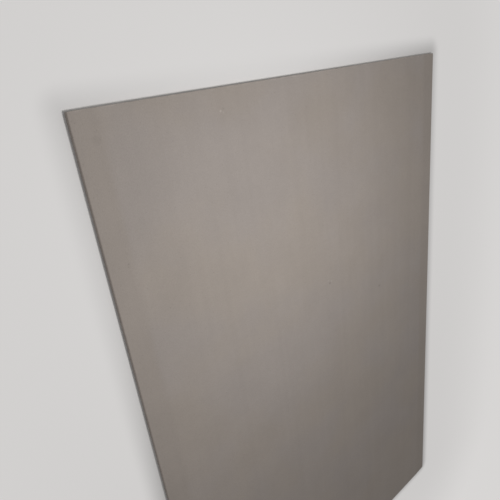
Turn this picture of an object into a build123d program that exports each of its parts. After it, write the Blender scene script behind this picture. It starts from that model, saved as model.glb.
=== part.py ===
from build123d import *

import os

# Drywall sheet: a gypsum board with tapered, paper-wrapped long edges and square-cut ends.
# It lies on its back. X runs across its width, Y along its length and +Z out of its face.
# The origin is the middle of the back face. All sizes are in millimetres.

# The sheet's overall size
sheet_width = 1200.0
sheet_length = 1800.0
sheet_thickness = 12.5

# The recess along each long edge, which takes the joint tape and the filler
taper_width = 60.0
taper_depth = 1.8
taper_shoulder_radius = 400.0

# The long edge itself, where the face paper is folded round the core
edge_bulge = 0.4
face_fold_radius = 2.5
back_fold_radius = 1.2

# The back: the face paper's fold shows along each long edge, and the liner paper stands proud of it
fold_strip_width = 22.0
liner_step = 0.3


def round_corner(section, corner, radius):
    """Rounds the corner of the section that lies at this point."""
    fillet(section.vertices().sort_by_distance(corner)[0], radius)


with BuildPart() as drywall_sheet:
    half_width = sheet_width / 2
    corner_x = half_width - edge_bulge
    edge_top = sheet_thickness - taper_depth

    liner_edge = (half_width - fold_strip_width, 0)
    strip_start = (half_width - fold_strip_width, liner_step)
    back_corner = (corner_x, liner_step)
    edge_middle = (half_width, (liner_step + edge_top) / 2)
    face_corner = (corner_x, edge_top)
    taper_shoulder = (half_width - taper_width, sheet_thickness)

    # Half of the cross-section, from the middle of the back round the edge to the middle of the face
    with BuildSketch(Plane.XZ) as section:
        with BuildLine():
            Polyline((0, 0), liner_edge, strip_start, back_corner)
            ThreePointArc(back_corner, edge_middle, face_corner)
            Polyline(face_corner, taper_shoulder, (0, sheet_thickness))
            Line((0, sheet_thickness), (0, 0))
        make_face()
        round_corner(section, back_corner, back_fold_radius)
        round_corner(section, face_corner, face_fold_radius)
        round_corner(section, taper_shoulder, taper_shoulder_radius)
        mirror(about=Plane.YZ)

    extrude(amount=sheet_length / 2, both=True)

os.makedirs("parts", exist_ok=True)
drywall_sheet.part.label = "drywall_sheet"
export_step(drywall_sheet.part, "parts/drywall_sheet.step")
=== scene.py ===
"""Dresses the drywall sheet: a gypsum board faced with greige paper, lying on its back on a pale floor.

One mesh stands for the whole board. It follows the board's own cross-section from end to end, and its two
cut ends show the gypsum between the papers.
"""

import math
from itertools import pairwise

import bmesh
import bpy
from mathutils import Matrix, Vector, noise


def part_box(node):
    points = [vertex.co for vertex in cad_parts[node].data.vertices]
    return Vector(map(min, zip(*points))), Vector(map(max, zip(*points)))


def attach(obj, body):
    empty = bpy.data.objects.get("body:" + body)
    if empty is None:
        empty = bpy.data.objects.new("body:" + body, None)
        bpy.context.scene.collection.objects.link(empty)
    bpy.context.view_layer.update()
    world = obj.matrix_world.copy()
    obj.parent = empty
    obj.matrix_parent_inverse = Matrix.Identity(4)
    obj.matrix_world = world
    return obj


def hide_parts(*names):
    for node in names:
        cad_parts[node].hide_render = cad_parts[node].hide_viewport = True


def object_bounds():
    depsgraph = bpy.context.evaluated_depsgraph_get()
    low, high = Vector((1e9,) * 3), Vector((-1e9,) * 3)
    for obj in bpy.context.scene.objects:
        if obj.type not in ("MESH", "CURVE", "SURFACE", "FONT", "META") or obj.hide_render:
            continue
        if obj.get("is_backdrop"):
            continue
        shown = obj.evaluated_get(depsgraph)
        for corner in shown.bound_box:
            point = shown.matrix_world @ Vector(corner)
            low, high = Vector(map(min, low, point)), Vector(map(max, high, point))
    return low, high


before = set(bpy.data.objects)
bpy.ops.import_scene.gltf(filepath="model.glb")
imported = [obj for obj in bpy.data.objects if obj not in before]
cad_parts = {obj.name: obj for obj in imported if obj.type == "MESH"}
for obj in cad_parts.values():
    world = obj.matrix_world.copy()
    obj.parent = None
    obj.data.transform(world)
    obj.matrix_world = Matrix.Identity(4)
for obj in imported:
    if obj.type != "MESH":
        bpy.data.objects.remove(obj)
CAD_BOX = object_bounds()

MM = 0.001

# The board's box, from the solid
LOW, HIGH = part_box("drywall_sheet")
HALF_WIDTH = (HIGH.x - LOW.x) / 2
HALF_LENGTH = (HIGH.y - LOW.y) / 2
THICKNESS = HIGH.z - LOW.z

# The cross-section, with the same sizes as the solid
TAPER_WIDTH = 60 * MM
TAPER_DEPTH = 1.8 * MM
SHOULDER_RADIUS = 400 * MM
EDGE_BULGE = 0.4 * MM
EDGE_ROUNDING = 12 * MM
FACE_FOLD_RADIUS = 2.5 * MM
BACK_FOLD_RADIUS = 1.2 * MM
FOLD_STRIP_WIDTH = 22 * MM
LINER_STEP = 0.3 * MM

# How finely the section is divided: lengthwise lines at the cut ends, and every eighth of them between
LINE_SPACING = 1.5 * MM
LINES_KEPT_EVERY = 8
ARC_STEPS = 6
SHOULDER_STEPS = 8
CORE_ROWS = 7

# Rows across the board: coarse ones along its length, and finer ones at these depths from each cut end. What
# sawing did to the paper reaches in as far as CUT_REACH.
ROW_SPACING = 15 * MM
LEAST_ROW_SPACING = 0.6 * MM
CUT_REACH = 1.5 * MM
END_ROWS = (0, 0.5 * MM, CUT_REACH, 3.5 * MM)
ROW_DECIMALS = 6

# Smooth shading stops where faces meet at more than this angle
SHARP_ANGLE = math.radians(35)

# Unevenness that the eye finds on a real board. Each pattern has its waves a metre across and along the
# board, and a number that sets it apart from the others.
BROAD_WAVE_DEPTH = 0.16 * MM
BROAD_WAVES = (3.1, 2.3, 1)
STREAK_WAVE_DEPTH = 0.05 * MM
STREAK_WAVES = (17, 1.7, 2)
BACK_WAVE_DEPTH = 0.1 * MM
BACK_WAVES = (4.3, 2.9, 3)
WAVE_FADE = 40 * MM
LINER_WANDER = 0.9 * MM
LINER_WAVES = (1, 9, 4)
LINER_WANDER_REACH = 8 * MM
CORNER_CRUSH = 1.2 * MM
CORNER_CRUSH_REACH = 9 * MM
CORNER_CRUSH_WAVES = (2, 2, 11)

# The cut ends: ragged paper, and a core that has crumbled back between the papers. Each pattern has its waves
# a metre across and up the cut, and its number.
PAPER_THICKNESS = 0.35 * MM
PAPER_FRAY = 0.35 * MM
LONG_TEAR_WAVES = (60, 0, 20)
LONG_TEAR_SHARE = 0.6
FINE_TEAR_WAVES = (700, 700, 30)
FINE_TEAR_SHARE = 0.4
INNER_FRAY_SHARE = 0.3
CUT_LIP = 0.15 * MM
CORE_INSET = 0.3 * PAPER_THICKNESS
CORE_BEHIND_PAPER = 0.1 * MM
CORE_SETBACK = 0.45 * MM
CORE_RELIEF = 0.55 * MM
CORE_GRAIN_WAVES = (420, 420, 40)
CORE_GRAIN_SHARE = 0.3
CORE_LUMP_WAVES = (90, 160, 50)
CORE_LUMP_SHARE = 0.4
CORE_PIT_DEPTH = 0.9 * MM
CORE_PIT_WAVES = (260, 260, 60)
CORE_PIT_START = 0.35

# Small marks on the face: place, radius, depth and what it does to the paper's tone. Some tones are painted
# shade and painted highlights beside dents.
MARKS = {
    "scuff": {"at": (-0.2704, 0.8509), "radius": 3.6 * MM, "depth": 0.15 * MM, "tone": 0.25},
    "scuff_tail": {"at": (-0.2628, 0.8476), "radius": 3.2 * MM, "depth": 0.0, "tone": 0.12},
    # Painted shade beside the scuff's shallow dent
    "scuff_painted_shade": {"at": (-0.2621, 0.8552), "radius": 3.0 * MM, "depth": 0.1 * MM, "tone": -0.12},
    # The nick is a real dent whose dark tone is painted shade, and its two pale rims are painted highlights
    "nick_dent_painted_shade": {"at": (0.0441, 0.2978), "radius": 5.5 * MM, "depth": 0.6 * MM, "tone": -0.21},
    "nick_painted_highlight_left": {"at": (0.0378, 0.3086), "radius": 4.2 * MM, "depth": 0.0, "tone": 0.12},
    "nick_painted_highlight_right": {"at": (0.0514, 0.3029), "radius": 4.2 * MM, "depth": 0.0, "tone": 0.12},
    "brown_fleck": {"at": (0.2888, 0.1880), "radius": 5.5 * MM, "depth": 0.15 * MM, "tone": -0.20},
    "scratch_head": {"at": (-0.5556, 0.5893), "radius": 2.6 * MM, "depth": 0.1 * MM, "tone": -0.16},
    "scratch_tail": {"at": (-0.5573, 0.5834), "radius": 2.4 * MM, "depth": 0.1 * MM, "tone": -0.14},
    "handling_smudge": {"at": (-0.5578, 0.8425), "radius": 13 * MM, "depth": 0.0, "tone": -0.045},
    "edge_knock_high": {"at": (-0.5936, 0.8831), "radius": 3.0 * MM, "depth": 0.2 * MM, "tone": -0.13},
    "edge_knock_low": {"at": (-0.5934, 0.8055), "radius": 3.0 * MM, "depth": 0.2 * MM, "tone": -0.13},
}
MARK_MESH_REACH = 2.0
MARK_FULL_TONE_REACH = 0.35

# Colours, as linear values
FACE_PAPER_GREYER = (0.337, 0.298, 0.273)
FACE_PAPER_WARMER = (0.339, 0.296, 0.262)
FACE_PAPER_ON_TAPERS_WITH_PAINTED_SHADE = (0.327, 0.286, 0.255)
LINER_PAPER = (0.300, 0.248, 0.200)
GYPSUM = (0.785, 0.748, 0.698)
CUT_PAPER = (0.275, 0.236, 0.196)
FLOOR_COLOUR = (0.740, 0.725, 0.715)
BACKDROP_COLOUR = (0.680, 0.667, 0.658)

# The face paper over each taper is warmer in colour, and darker with painted shade of the taper's slope
TAPER_TONE_START = HALF_WIDTH - TAPER_WIDTH - 7 * MM
TAPER_TONE_END = HALF_WIDTH - TAPER_WIDTH + 15 * MM

# The face paper right beside each cut end, where sawing has lifted fibres and dusted them with gypsum
WORN_RIM_WIDTH = 4 * MM
WORN_RIM_TONE = 1.16

# The camera stands over the board's upper left corner, where the photograph's camera stood
CAMERA_PLACE = Vector((-0.8762, 0.9346, 0.8564))
CAMERA_FORWARD = Vector((0.55794, -0.37352, -0.74108))
CAMERA_UP = Vector((0.32856, 0.91944, -0.21606))
CAMERA_LENS = 32.65
CAMERA_SENSOR = 36.0

# Light: one soft lamp above the board's upper left, as in the photograph, and an even sky
LAMP_PLACE = (-0.18, 0.62, 1.01)
LAMP_SIZE = 0.26
LAMP_POWER = 6.6
SKY_STRENGTH = 0.32

# The floor shows the board's shadow, and fades into the backdrop's plain tone away from it
FLOOR_DROP = 0.2 * MM
FLOOR_REACH = 30.0
SHADOW_REACH = 0.06
FADE_PAST_SHADOW = 0.8
FADE_DISTANCE = 0.8

# Order of the material slots on the board's mesh
FACE_SLOT, LINER_SLOT, GYPSUM_SLOT, CUT_SLOT = range(4)

# Where Blender's mix node has its colour sockets
MIX_FIRST_COLOUR = 6
MIX_SECOND_COLOUR = 7
MIX_RESULT_COLOUR = 2

# Slack for rounding, in heights along the edge and in places beside the step on the back
HEIGHT_SLACK = 1e-9
STEP_SLACK = 0.1 * MM

# The range in which nearly all values of a noise texture lie, and the wider one of the fine fibres
NOISE_RANGE = (0.3, 0.7)
FIBRE_RANGE = (0.25, 0.75)


def ripple(u, v, waves, end=0):
    """Smooth noise from -1 to 1 over a plane, with another pattern for each cut end."""
    return noise.noise(Vector((u * waves[0], v * waves[1], waves[2] + end)))


def wave(u, v, waves, end=0):
    """Smooth noise from 0 to 1 over a plane."""
    return 0.5 + 0.5 * ripple(u, v, waves, end)


def ease(t):
    """A smooth step from 0 to 1."""
    t = min(max(t, 0.0), 1.0)
    return t * t * (3 - 2 * t)


def arc(before, corner, after, radius, steps):
    """Points of the arc that rounds a corner of the section, between the points before and after it."""
    to_before = (before - corner).normalized()
    to_after = (after - corner).normalized()
    half_angle = math.acos(to_before.dot(to_after)) / 2
    centre = corner + (to_before + to_after).normalized() * (radius / math.sin(half_angle))
    start = corner + to_before * (radius / math.tan(half_angle)) - centre
    turn = math.copysign(math.pi - 2 * half_angle, to_after.cross(to_before))
    return [centre + Matrix.Rotation(turn * i / steps, 2) @ start for i in range(steps + 1)]


def straight(start, end, segments):
    """Points from start to end, without the first."""
    return [start.lerp(end, (i + 1) / segments) for i in range(segments)]


class Chain:
    """A run of points along the section, and which of them carry on between the cut ends."""

    def __init__(self, start):
        self.points = [start]
        self.kept = [True]

    def add_line(self, end, segments):
        """A straight stretch, of which every eighth point is kept."""
        self.points += straight(self.points[-1], end, segments)
        self.kept += [(i + 1) % LINES_KEPT_EVERY == 0 or i == segments - 1 for i in range(segments)]

    def add_arc(self, points):
        """A rounded stretch, all of it kept."""
        self.points += points[1:]
        self.kept += [True] * (len(points) - 1)

    def both_sides(self):
        """The chain from the left side to the right, made from this right half by mirroring it."""
        left = [Vector((-p.x, p.y)) for p in reversed(self.points[1:])]
        return left + self.points, list(reversed(self.kept[1:])) + self.kept


class Section:
    """The board's closed outline, seen along its length, as one ring of points.

    The ring runs up the left edge, over the face, down the right edge and back under the board.
    """

    def __init__(self):
        edge_top = THICKNESS - TAPER_DEPTH
        middle_height = (LINER_STEP + edge_top) / 2
        back_corner = Vector((HALF_WIDTH - EDGE_BULGE, LINER_STEP))
        edge_middle = Vector((HALF_WIDTH, middle_height))
        face_corner = Vector((HALF_WIDTH - EDGE_BULGE, edge_top))
        shoulder = Vector((HALF_WIDTH - TAPER_WIDTH, THICKNESS))
        face_middle = Vector((0, THICKNESS))
        strip_start = Vector((HALF_WIDTH - FOLD_STRIP_WIDTH, LINER_STEP))
        liner_edge = Vector((HALF_WIDTH - FOLD_STRIP_WIDTH, 0))
        back_middle = Vector((0, 0))

        shoulder_arc = arc(face_middle, shoulder, face_corner, SHOULDER_RADIUS, SHOULDER_STEPS)
        face_fold = arc(shoulder, face_corner, edge_middle, FACE_FOLD_RADIUS, ARC_STEPS)
        back_fold = arc(strip_start, back_corner, edge_middle, BACK_FOLD_RADIUS, ARC_STEPS)

        flat_lines = round((shoulder_arc[0] - face_middle).length / LINE_SPACING)
        taper_lines = round((face_fold[0] - shoulder_arc[-1]).length / LINE_SPACING)
        strip_lines = round((back_fold[0] - strip_start).length / LINE_SPACING)
        liner_lines = flat_lines + SHOULDER_STEPS + taper_lines - 1 - strip_lines

        face = Chain(face_middle)
        face.add_line(shoulder_arc[0], flat_lines)
        face.add_arc(shoulder_arc)
        face.add_line(face_fold[0], taper_lines)
        face.add_arc(face_fold)
        back = Chain(back_middle)
        back.add_line(liner_edge, liner_lines)
        back.add_line(strip_start, 1)
        back.add_line(back_fold[0], strip_lines)
        back.add_arc(back_fold)

        self.face, face_kept = face.both_sides()
        self.back, back_kept = back.both_sides()
        edge = self.edge_points(self.back[-1], edge_middle, self.face[-1])
        left_edge = [Vector((-p.x, p.y)) for p in edge]
        right_edge = list(reversed(edge))

        self.ring = left_edge[:-1] + self.face[:-1] + right_edge[:-1] + list(reversed(self.back))[:-1]
        self.kept = [True] * CORE_ROWS + face_kept[:-1] + [True] * CORE_ROWS + list(reversed(back_kept))[:-1]
        self.columns = len(self.face) - 1
        self.face_start = CORE_ROWS
        self.face_end = CORE_ROWS + self.columns
        self.back_start = self.face_end + CORE_ROWS
        self.count = len(self.ring)
        self.keep_lines_at_marks()
        self.kept_columns = [column for column in range(self.count) if self.kept[column]]

    def edge_points(self, bottom, middle, top):
        """The slightly bulging long edge, from the end of the back fold to the start of the face fold."""
        bulge = arc(bottom, middle, top, EDGE_ROUNDING, CORE_ROWS * 2)
        whole = [bottom] + bulge + [top]
        heights = [bottom.y + (top.y - bottom.y) * i / CORE_ROWS for i in range(CORE_ROWS + 1)]
        found = []
        for height in heights:
            upper = next(i for i, p in enumerate(whole) if p.y >= height - HEIGHT_SLACK)
            a, b = whole[max(upper - 1, 0)], whole[upper]
            share = 0 if b.y == a.y else (height - a.y) / (b.y - a.y)
            found.append(a.lerp(b, share))
        return found

    def keep_lines_at_marks(self):
        """Keeps every line of the face that crosses a mark, so that the mark is a real dent."""
        for i in range(self.face_start, self.face_end):
            if any(abs(self.ring[i].x - mark["at"][0]) < MARK_MESH_REACH * mark["radius"]
                   for mark in MARKS.values() if mark["depth"] > 0):
                self.kept[i] = True

    def spans(self):
        """Pairs of neighbouring kept columns round the ring."""
        return pairwise([*self.kept_columns, self.kept_columns[0] + self.count])

    def is_back(self, column):
        """True for the segment that starts at this column, where it is under the board."""
        return column >= self.back_start

    def slot(self, column):
        """The material of the segment that starts at this column."""
        middle = (self.ring[column].x + self.ring[(column + 1) % self.count].x) / 2
        within_step = abs(middle) < HALF_WIDTH - FOLD_STRIP_WIDTH + STEP_SLACK
        return LINER_SLOT if self.is_back(column) and within_step else FACE_SLOT

    def inward(self, column):
        """The direction into the board at this point of the ring."""
        along = self.ring[(column + 1) % self.count] - self.ring[column - 1]
        return Vector((along.y, -along.x)).normalized()


def mark_drop(x, y):
    """How deep the marks press into the face here."""
    drop = 0.0
    for mark in MARKS.values():
        distance = math.hypot(x - mark["at"][0], y - mark["at"][1]) / mark["radius"]
        drop += mark["depth"] * (1 - ease(distance))
    return drop


def corner_crush(x, y):
    """How far the board's four corners are pressed in, from 0 to 1."""
    reach = math.hypot(HALF_WIDTH - abs(x), HALF_LENGTH - abs(y)) / CORNER_CRUSH_REACH
    return (1 - ease(reach)) * wave(x, y, CORNER_CRUSH_WAVES)


def surface_point(section, column, y):
    """A point of the board's skin, with its unevenness.

    Only at the wandering edge of the liner paper can it lie outside the plain section.
    """
    x, z = section.ring[column]
    on_face = section.face_start <= column <= section.face_end
    on_back = section.is_back(column) or column == 0
    if on_face:
        away_from_fold = ease((HALF_WIDTH - abs(x)) / WAVE_FADE)
        z -= BROAD_WAVE_DEPTH * wave(x, y, BROAD_WAVES) * away_from_fold
        z -= STREAK_WAVE_DEPTH * wave(x, y, STREAK_WAVES) * away_from_fold
        z -= mark_drop(x, y)
    elif on_back:
        z += BACK_WAVE_DEPTH * wave(x, y, BACK_WAVES) * (1 - ease(abs(x) / HALF_WIDTH))
        from_step = abs(abs(x) - (HALF_WIDTH - FOLD_STRIP_WIDTH)) / LINER_WANDER_REACH
        x += math.copysign(LINER_WANDER, x) * (wave(x, y, LINER_WAVES) - 0.5) * (1 - ease(from_step))
    crush = CORNER_CRUSH * corner_crush(x, y)
    x -= math.copysign(crush, x)
    y -= math.copysign(crush, y)
    return Vector((x, y, z))


class BoardMesh:
    """Collects the board's points and faces. Each face has a material and a place on the texture map."""

    GAP = 20 * MM
    BACK_SQUEEZE = 0.5
    CUT_END_STRETCH = Vector((1.5, 4.0))

    def __init__(self, section):
        self.section = section
        self.points, self.faces, self.slots, self.corners = [], [], [], []
        lengths = [0.0]
        for i in range(section.count):
            length = (section.ring[(i + 1) % section.count] - section.ring[i]).length
            lengths.append(lengths[-1] + length * (self.BACK_SQUEEZE if section.is_back(i) else 1))
        self.around = lengths
        self.map_width = lengths[-1] + 3 * self.GAP
        self.back_shift = 2 * self.GAP
        end_height = THICKNESS * self.CUT_END_STRETCH.y
        self.map_height = 2 * HALF_LENGTH + 2 * end_height + 4 * self.GAP
        self.end_starts = [2 * self.GAP + 2 * HALF_LENGTH, 3 * self.GAP + 2 * HALF_LENGTH + end_height]

    def add_points(self, points):
        """Adds points and returns their numbers."""
        first = len(self.points)
        self.points += points
        return list(range(first, len(self.points)))

    def add_face(self, numbers, places, slot):
        """Adds a face with its corners' places on the map, in metres of the map."""
        self.faces.append(numbers)
        self.slots.append(slot)
        self.corners += [(u / self.map_width, v / self.map_height) for u, v in places]

    def add_corners(self, corners, slot):
        """Adds a face from pairs of a point's number and its place on the map."""
        numbers, places = zip(*corners, strict=True)
        self.add_face(numbers, places, slot)

    def add_end_face(self, numbers, end, slot):
        """Adds a face of a cut end from its points' numbers."""
        self.add_face(numbers, [self.end_place(self.points[number], end) for number in numbers], slot)

    def skin_place(self, column, y, on_back):
        """Where a point of the skin lies on the map: the face on the left, the narrower back on the right."""
        shift = self.back_shift if on_back else self.GAP
        return self.around[column] + shift, y + HALF_LENGTH + self.GAP

    def end_place(self, point, end):
        """Where a point of a cut end lies on the map: in a strip above the face and the back."""
        return (
            self.GAP + (point.x + HALF_WIDTH) * self.CUT_END_STRETCH.x,
            self.end_starts[end] + point.z * self.CUT_END_STRETCH.y,
        )

    def make(self, name):
        """The finished mesh, with smooth shading that stops at its sharp edges."""
        mesh = bpy.data.meshes.new(name)
        mesh.from_pydata(self.points, [], self.faces)
        mesh.polygons.foreach_set("material_index", self.slots)
        layer = mesh.uv_layers.new(name="OFBake")
        layer.uv.foreach_set("vector", [value for place in self.corners for value in place])
        mesh.shade_smooth()
        mesh.set_sharp_from_angle(angle=SHARP_ANGLE)
        mesh.validate()
        return mesh


def rows_between_ends():
    """Places along the length for the coarse rows, closer together where they cross a mark."""
    start, end = -HALF_LENGTH + END_ROWS[-1], HALF_LENGTH - END_ROWS[-1]
    count = round((end - start) / ROW_SPACING)
    rows = {round(start + (end - start) * i / count, ROW_DECIMALS) for i in range(1, count)}
    for mark in MARKS.values():
        if mark["depth"] > 0:
            reach = MARK_MESH_REACH * mark["radius"]
            first = mark["at"][1] - reach
            steps = math.ceil(2 * reach / LINE_SPACING)
            rows |= {round(first + 2 * reach * i / steps, ROW_DECIMALS) for i in range(steps + 1)}
    apart = [y for y, after in pairwise([*sorted(rows), end]) if after - y > LEAST_ROW_SPACING]
    return [y for y in apart if y - start > LEAST_ROW_SPACING]


def fray(point, end):
    """How far the cut paper is torn back here."""
    long_tear = wave(point.x, point.z, LONG_TEAR_WAVES, end)
    fine_tear = abs(ripple(point.x, point.z, FINE_TEAR_WAVES, end))
    return PAPER_FRAY * (LONG_TEAR_SHARE * long_tear + FINE_TEAR_SHARE * fine_tear)


def core_depth(point, end):
    """How far the crumbled core stands back from the cut at this place."""
    grain = ripple(point.x, point.z, CORE_GRAIN_WAVES, end)
    lumps = ripple(point.x, point.z, CORE_LUMP_WAVES, end)
    pits = ripple(point.x, point.z, CORE_PIT_WAVES, end) - CORE_PIT_START
    pits = max(0.0, pits) / (1 - CORE_PIT_START)
    relief = 0.5 + CORE_GRAIN_SHARE * grain + CORE_LUMP_SHARE * lumps
    return CORE_SETBACK + CORE_RELIEF * relief + CORE_PIT_DEPTH * pits


def row_corner(board, row, column, on_back):
    """A face's corner where a row crosses a column: the number of its point, and its place on the map."""
    numbers, y = row
    return numbers[column % board.section.count], board.skin_place(column, y, on_back)


def end_rows(board, end):
    """The fine rows of the skin at a cut end. Returns the rim's point numbers, and the innermost row."""
    section = board.section
    toward_cut = -1 if end == 0 else 1
    rows = []
    for depth in END_ROWS:
        y = toward_cut * (HALF_LENGTH - depth)
        points = [surface_point(section, column, y) for column in range(section.count)]
        near_cut = max(0.0, 1 - depth / CUT_REACH)
        for column, point in enumerate(points):
            point.y -= toward_cut * fray(point, end) * near_cut
            inward = section.inward(column) * CUT_LIP * near_cut
            point.x += inward.x
            point.z += inward.y
        rows.append((board.add_points(points), y))
    for outer, inner in pairwise(rows):
        for column in range(section.count):
            back = section.is_back(column)
            corners = [row_corner(board, outer, column, back), row_corner(board, outer, column + 1, back),
                       row_corner(board, inner, column + 1, back), row_corner(board, inner, column, back)]
            board.add_corners(corners, section.slot(column))
    return rows[0][0], rows[-1]


def coarse_row(board, y):
    """A row of points across the board at this place, with a point number for each kept column."""
    section = board.section
    numbers = board.add_points([surface_point(section, column, y) for column in section.kept_columns])
    return dict(zip(section.kept_columns, numbers, strict=True)), y


def join_coarse_rows(board, row, next_row):
    """A strip of four-sided faces between two coarse rows."""
    for a, b in board.section.spans():
        back = board.section.is_back(a)
        corners = [row_corner(board, row, a, back), row_corner(board, row, b, back),
                   row_corner(board, next_row, b, back), row_corner(board, next_row, a, back)]
        board.add_corners(corners, board.section.slot(a))


def join_to_fine_row(board, row, fine_row):
    """A strip of triangles that fans out from a coarse row to the fine row at a cut end."""
    for a, b in board.section.spans():
        back = board.section.is_back(a)
        left, right = row_corner(board, row, a, back), row_corner(board, row, b, back)
        fine = [row_corner(board, fine_row, column, back) for column in range(a, b + 1)]
        middle = (b - a) // 2
        fan = [(*pair, left if i < middle else right) for i, pair in enumerate(pairwise(fine))]
        for triangle in [*fan, (left, fine[middle], right)]:
            board.add_corners(triangle, board.section.slot(a))


def long_rows(board, first, last):
    """The coarse rows between the two cut ends, joined to the fine rows there."""
    rows = [coarse_row(board, y) for y in rows_between_ends()]
    for row, next_row in pairwise(rows):
        join_coarse_rows(board, row, next_row)
    join_to_fine_row(board, rows[0], first)
    join_to_fine_row(board, rows[-1], last)


def cut_end(board, rim, end):
    """Closes a cut end: the cut edge of the paper, and the core that stands back from it."""
    section = board.section
    toward_cut = -1 if end == 0 else 1
    outer = [board.points[number] for number in rim]
    inner, core_rim = [], []
    for column, point in enumerate(outer):
        step = section.inward(column)
        at_paper = point + Vector((step.x, 0, step.y)) * PAPER_THICKNESS
        at_paper.y -= toward_cut * INNER_FRAY_SHARE * fray(at_paper, end)
        at_core = at_paper + Vector((step.x, 0, step.y)) * CORE_INSET
        behind_paper = HALF_LENGTH - abs(at_paper.y) + CORE_BEHIND_PAPER
        at_core.y = toward_cut * (HALF_LENGTH - max(core_depth(at_core, end), behind_paper))
        inner.append(at_paper)
        core_rim.append(at_core)
    inner_numbers = board.add_points(inner)
    core_numbers = board.add_points(core_rim)
    for column in range(section.count):
        after = (column + 1) % section.count
        for a, b, slot in ((rim, inner_numbers, CUT_SLOT), (inner_numbers, core_numbers, GYPSUM_SLOT)):
            board.add_end_face([a[column], a[after], b[after], b[column]], end, slot)
    core_face(board, core_numbers, end)


def core_face(board, rim, end):
    """The crumbled gypsum between the papers, as a grid whose border is the core's rim."""
    section = board.section
    toward_cut = -1 if end == 0 else 1
    columns, rows = section.columns, CORE_ROWS
    grid = [[None] * (rows + 1) for _ in range(columns + 1)]
    for j in range(rows + 1):
        grid[0][j] = rim[j]
        grid[columns][rows - j] = rim[section.face_end + j]
    for i in range(columns + 1):
        grid[i][rows] = rim[section.face_start + i]
        grid[columns - i][0] = rim[(section.back_start + i) % section.count]
    for i in range(1, columns):
        bottom, top = board.points[grid[i][0]], board.points[grid[i][rows]]
        for j in range(1, rows):
            point = bottom.lerp(top, j / rows)
            point.y = toward_cut * (HALF_LENGTH - core_depth(point, end))
            grid[i][j] = board.add_points([point])[0]
    for i in range(columns):
        for j in range(rows):
            numbers = [grid[i][j], grid[i + 1][j], grid[i + 1][j + 1], grid[i][j + 1]]
            board.add_end_face(numbers, end, GYPSUM_SLOT)


def outward_faces(mesh):
    """Turns every face outwards."""
    edit = bmesh.new()
    edit.from_mesh(mesh)
    bmesh.ops.recalc_face_normals(edit, faces=edit.faces)
    edit.to_mesh(mesh)
    edit.free()


def make_board():
    """The whole board as one closed mesh."""
    board = BoardMesh(Section())
    rim_low, first = end_rows(board, 0)
    rim_high, last = end_rows(board, 1)
    long_rows(board, first, last)
    cut_end(board, rim_low, 0)
    cut_end(board, rim_high, 1)
    mesh = board.make("gypsum_board")
    outward_faces(mesh)
    made = bpy.data.objects.new("gypsum_board", mesh)
    bpy.context.scene.collection.objects.link(made)
    return made


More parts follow.
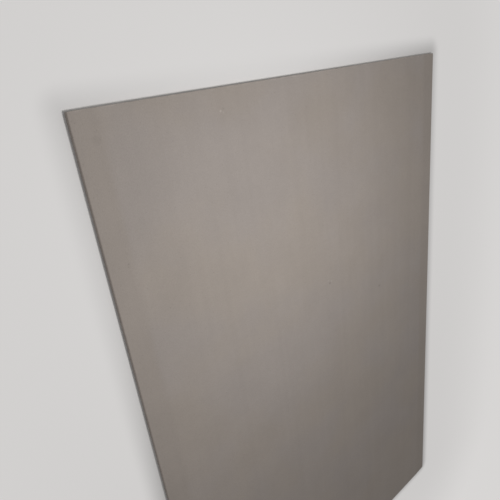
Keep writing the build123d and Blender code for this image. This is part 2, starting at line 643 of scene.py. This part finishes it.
class Paint:
    """Builds one material. Its patterns, factors and colours are passed on as the sockets that carry them."""

    def __init__(self, name, specular):
        self.material = bpy.data.materials.new(name)
        self.material.use_nodes = True
        self.tree = self.material.node_tree
        self.shader = self.tree.nodes["Principled BSDF"]
        self.shader.inputs["Specular IOR Level"].default_value = specular
        self.place = self.add("ShaderNodeTexCoord").outputs["Object"]

    def add(self, kind, **settings):
        """A new node with these settings."""
        made = self.tree.nodes.new(kind)
        for name, value in settings.items():
            setattr(made, name, value)
        return made

    def put(self, socket, value):
        """Sets a socket to a value, or joins another socket to it."""
        if isinstance(value, bpy.types.NodeSocket):
            self.tree.links.new(value, socket)
        else:
            socket.default_value = value

    def arithmetic(self, operation, first, second=0.0):
        """Arithmetic on one or two values."""
        made = self.add("ShaderNodeMath", operation=operation)
        self.put(made.inputs[0], first)
        self.put(made.inputs[1], second)
        return made.outputs[0]

    def noise(self, scale, detail, stretch=(1, 1, 1), shift=0.0):
        """Smooth noise from 0 to 1. The scale is in waves a metre, and stretch multiplies it by axis."""
        placed = self.add("ShaderNodeMapping")
        placed.inputs["Scale"].default_value = [scale * s for s in stretch]
        placed.inputs["Location"].default_value = (shift, shift, shift)
        self.put(placed.inputs["Vector"], self.place)
        made = self.add("ShaderNodeTexNoise")
        self.put(made.inputs["Vector"], placed.outputs["Vector"])
        made.inputs["Scale"].default_value = 1.0
        made.inputs["Detail"].default_value = detail
        return made.outputs["Fac"]

    def cells(self, scale):
        """Distance from the nearest of many scattered points, and a random tone that each point has."""
        made = self.add("ShaderNodeTexVoronoi")
        self.put(made.inputs["Vector"], self.place)
        made.inputs["Scale"].default_value = scale
        return made.outputs["Distance"], made.outputs["Color"]

    def spread(self, value, before, after=(0.0, 1.0), smooth=False):
        """Maps a value from the range before to the range after, and holds it at their ends."""
        made = self.add("ShaderNodeMapRange", interpolation_type="SMOOTHSTEP" if smooth else "LINEAR")
        self.put(made.inputs["Value"], value)
        for name, number in zip(("From Min", "From Max", "To Min", "To Max"), (*before, *after), strict=True):
            made.inputs[name].default_value = number
        return made.outputs["Result"]

    def varied(self, pattern, amount, pattern_range=NOISE_RANGE):
        """A factor that follows a pattern, from this much below 1 to as much above it."""
        return self.spread(pattern, pattern_range, (1 - amount, 1 + amount))

    def mix(self, share, first, second):
        """A colour between two colours."""
        made = self.add("ShaderNodeMix", data_type="RGBA")
        self.put(made.inputs["Factor"], share)
        for number, colour in ((MIX_FIRST_COLOUR, first), (MIX_SECOND_COLOUR, second)):
            is_socket = isinstance(colour, bpy.types.NodeSocket)
            self.put(made.inputs[number], colour if is_socket else (*colour, 1))
        return made.outputs[MIX_RESULT_COLOUR]

    def toned(self, colour, tones):
        """A colour, made lighter or darker by each of these factors."""
        for tone in tones:
            made = self.add("ShaderNodeVectorMath", operation="SCALE")
            self.put(made.inputs[0], colour)
            self.put(made.inputs["Scale"], tone)
            colour = made.outputs["Vector"]
        return colour

    def vector_arithmetic(self, operation, first, second=(0, 0, 0)):
        """Arithmetic on one or two places. Returns the node, whose result is a place or a length."""
        made = self.add("ShaderNodeVectorMath", operation=operation)
        self.put(made.inputs[0], first)
        self.put(made.inputs[1], second)
        return made

    def distance_to(self, point):
        """Distance from a point of the board."""
        return self.vector_arithmetic("DISTANCE", self.place, point).outputs["Value"]

    def from_middle(self, name):
        """How far the place lies from the board's middle, along one axis."""
        made = self.add("ShaderNodeSeparateXYZ")
        self.put(made.inputs["Vector"], self.vector_arithmetic("ABSOLUTE", self.place).outputs["Vector"])
        return made.outputs[name]

    def bump(self, height, depth, under=None):
        """Fine relief that the mesh is too coarse for. The depth is in metres."""
        made = self.add("ShaderNodeBump")
        made.inputs["Distance"].default_value = depth
        self.put(made.inputs["Height"], height)
        if under is not None:
            self.put(made.inputs["Normal"], under)
        return made.outputs["Normal"]

    def finish(self, colour, roughness, normal):
        """Joins the results to the shader."""
        self.put(self.shader.inputs["Base Color"], colour)
        self.put(self.shader.inputs["Roughness"], roughness)
        self.put(self.shader.inputs["Normal"], normal)
        return self.material


def mark_tones(paint):
    """One factor for each mark on the face, with a soft uneven edge."""
    ragged = paint.varied(paint.noise(scale=420, detail=3, shift=3.0), 0.25)
    for mark in MARKS.values():
        radius = mark["radius"]
        distance = paint.arithmetic("MULTIPLY", paint.distance_to((*mark["at"], THICKNESS)), ragged)
        fading_out = (MARK_FULL_TONE_REACH * radius, radius)
        yield paint.spread(distance, fading_out, (1 + mark["tone"], 1.0), smooth=True)


def worn_rims(paint):
    """A factor that lightens the paper in places right beside the cut ends."""
    near_cut = paint.spread(paint.from_middle("Y"), (HALF_LENGTH - WORN_RIM_WIDTH, HALF_LENGTH))
    blotches = paint.noise(scale=45, detail=4, stretch=(1, 0.4, 1), shift=9.0)
    worn = paint.spread(blotches, (0.48, 0.62), smooth=True)
    return paint.spread(paint.arithmetic("MULTIPLY", near_cut, worn), (0.0, 1.0), (1.0, WORN_RIM_TONE))


def face_paper():
    """Greige manila paper: cloudy in tone and warmth, with faint lengthwise streaks and fine fibres."""
    paint = Paint("face_paper", specular=0.28)
    warmth = paint.spread(paint.noise(scale=3.5, detail=4, shift=6.0), (0.36, 0.64), smooth=True)
    on_taper = paint.spread(paint.from_middle("X"), (TAPER_TONE_START, TAPER_TONE_END), smooth=True)
    clouds = paint.noise(scale=7, detail=5, shift=1.0)
    mottle = paint.noise(scale=55, detail=3, shift=2.0)
    streaks = paint.noise(scale=1, detail=3, stretch=(38, 0.8, 1), shift=5.0)
    fibres = paint.noise(scale=950, detail=2, stretch=(1, 0.3, 1))
    flecks = paint.noise(scale=420, detail=1, stretch=(1, 0.5, 1), shift=7.0)
    tones = [
        paint.varied(clouds, 0.028),
        paint.varied(mottle, 0.018),
        paint.varied(streaks, 0.016),
        paint.varied(fibres, 0.07, FIBRE_RANGE),
        paint.spread(flecks, (0.70, 0.78), (1.0, 0.82)),
        worn_rims(paint),
        *mark_tones(paint),
    ]
    plain = paint.mix(warmth, FACE_PAPER_GREYER, FACE_PAPER_WARMER)
    # Over the tapers the paper turns warmer and takes painted shade
    colour = paint.toned(paint.mix(on_taper, plain, FACE_PAPER_ON_TAPERS_WITH_PAINTED_SHADE), tones)
    roughness = paint.spread(mottle, NOISE_RANGE, (0.74, 0.86))
    normal = paint.bump(fibres, 0.05 * MM, under=paint.bump(mottle, 0.25 * MM))
    return paint.finish(colour, roughness, normal)


def liner_paper():
    """Brown-grey liner paper on the back, coarser and more uneven than the face."""
    paint = Paint("liner_paper", specular=0.22)
    clouds = paint.noise(scale=9, detail=6, shift=11.0)
    mottle = paint.noise(scale=120, detail=3, shift=12.0)
    streaks = paint.noise(scale=1, detail=3, stretch=(60, 1.2, 1), shift=13.0)
    fibres = paint.noise(scale=800, detail=3, stretch=(1, 0.25, 1), shift=14.0)
    flecks = paint.noise(scale=380, detail=1, stretch=(1, 0.4, 1), shift=15.0)
    tones = [
        paint.varied(clouds, 0.06),
        paint.varied(mottle, 0.04),
        paint.varied(streaks, 0.03),
        paint.varied(fibres, 0.14, FIBRE_RANGE),
        paint.spread(flecks, (0.64, 0.74), (1.0, 0.72)),
    ]
    roughness = paint.spread(mottle, NOISE_RANGE, (0.82, 0.93))
    normal = paint.bump(fibres, 0.08 * MM, under=paint.bump(mottle, 0.3 * MM))
    return paint.finish(paint.toned(LINER_PAPER, tones), roughness, normal)


def gypsum():
    """Set gypsum at a cut end: chalky, pitted by air bubbles with painted shade in the pits, and slightly
    uneven in tone.
    """
    paint = Paint("gypsum_core", specular=0.2)
    grain = paint.noise(scale=900, detail=4, shift=21.0)
    patches = paint.noise(scale=45, detail=3, shift=22.0)
    distance, size = paint.cells(scale=480)
    bubbles = paint.arithmetic("ADD", distance, paint.spread(size, (0.25, 0.75), (-0.12, 0.3)))
    tones = [
        paint.varied(grain, 0.1),
        paint.varied(patches, 0.05),
        # Painted shade that darkens the bubble pits
        paint.spread(bubbles, (0.12, 0.26), (0.66, 1.0), smooth=True),
    ]
    roughness = paint.spread(grain, NOISE_RANGE, (0.88, 0.98))
    normal = paint.bump(grain, 0.15 * MM, under=paint.bump(bubbles, 0.4 * MM))
    return paint.finish(paint.toned(GYPSUM, tones), roughness, normal)


def cut_paper():
    """The torn edge of the papers at a cut end, with loose fibres."""
    paint = Paint("cut_paper", specular=0.2)
    fibres = paint.noise(scale=1500, detail=3, stretch=(1, 1, 4), shift=31.0)
    patches = paint.noise(scale=80, detail=2, shift=32.0)
    tones = [paint.varied(fibres, 0.22), paint.varied(patches, 0.08)]
    roughness = paint.spread(fibres, NOISE_RANGE, (0.85, 0.97))
    return paint.finish(paint.toned(CUT_PAPER, tones), roughness, paint.bump(fibres, 0.1 * MM))


def seen_directly(tree):
    """1 where the camera, a reflection or glass sees the surface, and 0 for light that bounces."""
    path = tree.nodes.new("ShaderNodeLightPath")
    seen = path.outputs["Is Camera Ray"]
    for name in ("Is Glossy Ray", "Is Transmission Ray"):
        either = tree.nodes.new("ShaderNodeMath")
        either.operation = "MAXIMUM"
        tree.links.new(seen, either.inputs[0])
        tree.links.new(path.outputs[name], either.inputs[1])
        seen = either.outputs[0]
    return seen


def fade_into_backdrop(paint):
    """How far the floor has faded into the backdrop, by its distance from the board."""
    from_middle = paint.vector_arithmetic("ABSOLUTE", paint.place).outputs["Vector"]
    beyond_sides = paint.vector_arithmetic("SUBTRACT", from_middle, (HALF_WIDTH, HALF_LENGTH, 0))
    outside = paint.vector_arithmetic("MAXIMUM", beyond_sides.outputs["Vector"])
    distance = paint.vector_arithmetic("LENGTH", outside.outputs["Vector"]).outputs["Value"]
    past_shadow = paint.spread(distance, (0.0, SHADOW_REACH), (0.0, FADE_PAST_SHADOW), smooth=True)
    left_over = (0.0, 1 - FADE_PAST_SHADOW)
    far_away = paint.spread(distance, (SHADOW_REACH, FADE_DISTANCE), left_over, smooth=True)
    fade = paint.arithmetic("ADD", past_shadow, far_away)
    return paint.arithmetic("MULTIPLY", fade, seen_directly(paint.tree))


def floor_paint():
    """Plain pale matte floor."""
    paint = Paint("floor", specular=0.1)
    paint.shader.inputs["Base Color"].default_value = (*FLOOR_COLOUR, 1)
    paint.shader.inputs["Roughness"].default_value = 0.9
    backdrop = paint.add("ShaderNodeEmission")
    backdrop.inputs["Color"].default_value = (*BACKDROP_COLOUR, 1)
    choice = paint.add("ShaderNodeMixShader")
    paint.put(choice.inputs["Fac"], fade_into_backdrop(paint))
    paint.put(choice.inputs[1], paint.shader.outputs["BSDF"])
    paint.put(choice.inputs[2], backdrop.outputs["Emission"])
    paint.put(paint.tree.nodes["Material Output"].inputs["Surface"], choice.outputs["Shader"])
    return paint.material


def make_floor():
    """The floor that the board lies on."""
    mesh = bpy.data.meshes.new("floor")
    reach = FLOOR_REACH
    corners = [(-reach, -reach), (reach, -reach), (reach, reach), (-reach, reach)]
    mesh.from_pydata([(x, y, -FLOOR_DROP) for x, y in corners], [], [(0, 1, 2, 3)])
    mesh.materials.append(floor_paint())
    floor = bpy.data.objects.new("floor", mesh)
    bpy.context.scene.collection.objects.link(floor)
    floor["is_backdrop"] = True


def make_world():
    """An even sky for fill light, which the camera sees as a pale backdrop."""
    world = bpy.data.worlds.new("studio")
    world.use_nodes = True
    tree = world.node_tree
    sky = tree.nodes["Background"]
    sky.inputs["Color"].default_value = (1, 1, 1, 1)
    sky.inputs["Strength"].default_value = SKY_STRENGTH
    backdrop = tree.nodes.new("ShaderNodeBackground")
    backdrop.inputs["Color"].default_value = (*BACKDROP_COLOUR, 1)
    choice = tree.nodes.new("ShaderNodeMixShader")
    tree.links.new(seen_directly(tree), choice.inputs["Fac"])
    tree.links.new(sky.outputs["Background"], choice.inputs[1])
    tree.links.new(backdrop.outputs["Background"], choice.inputs[2])
    tree.links.new(choice.outputs["Shader"], tree.nodes["World Output"].inputs["Surface"])
    bpy.context.scene.world = world


def make_lamp():
    """One soft lamp that shines straight down on the board's upper left."""
    lamp = bpy.data.lights.new("soft_lamp", "AREA")
    lamp.shape = "DISK"
    lamp.size = LAMP_SIZE
    lamp.energy = LAMP_POWER
    held = bpy.data.objects.new("soft_lamp", lamp)
    held.location = LAMP_PLACE
    held.visible_camera = False
    bpy.context.scene.collection.objects.link(held)


def make_camera():
    """The photograph's view of the board."""
    camera = bpy.data.cameras.new("camera")
    camera.lens = CAMERA_LENS
    camera.sensor_width = CAMERA_SENSOR
    right = CAMERA_FORWARD.cross(CAMERA_UP).normalized()
    up = right.cross(CAMERA_FORWARD).normalized()
    turn = Matrix((right, up, -CAMERA_FORWARD.normalized())).transposed()
    held = bpy.data.objects.new("camera", camera)
    held.matrix_world = Matrix.Translation(CAMERA_PLACE) @ turn.to_4x4()
    bpy.context.scene.collection.objects.link(held)
    bpy.context.scene.camera = held


make_camera()
board = make_board()
for material in (face_paper(), liner_paper(), gypsum(), cut_paper()):
    board.data.materials.append(material)
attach(board, "root")
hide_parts("drywall_sheet")

make_floor()
make_world()
make_lamp()
bpy.context.scene.view_settings.view_transform = "Standard"

[[list(corner) for corner in box] for box in (CAD_BOX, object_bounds())]
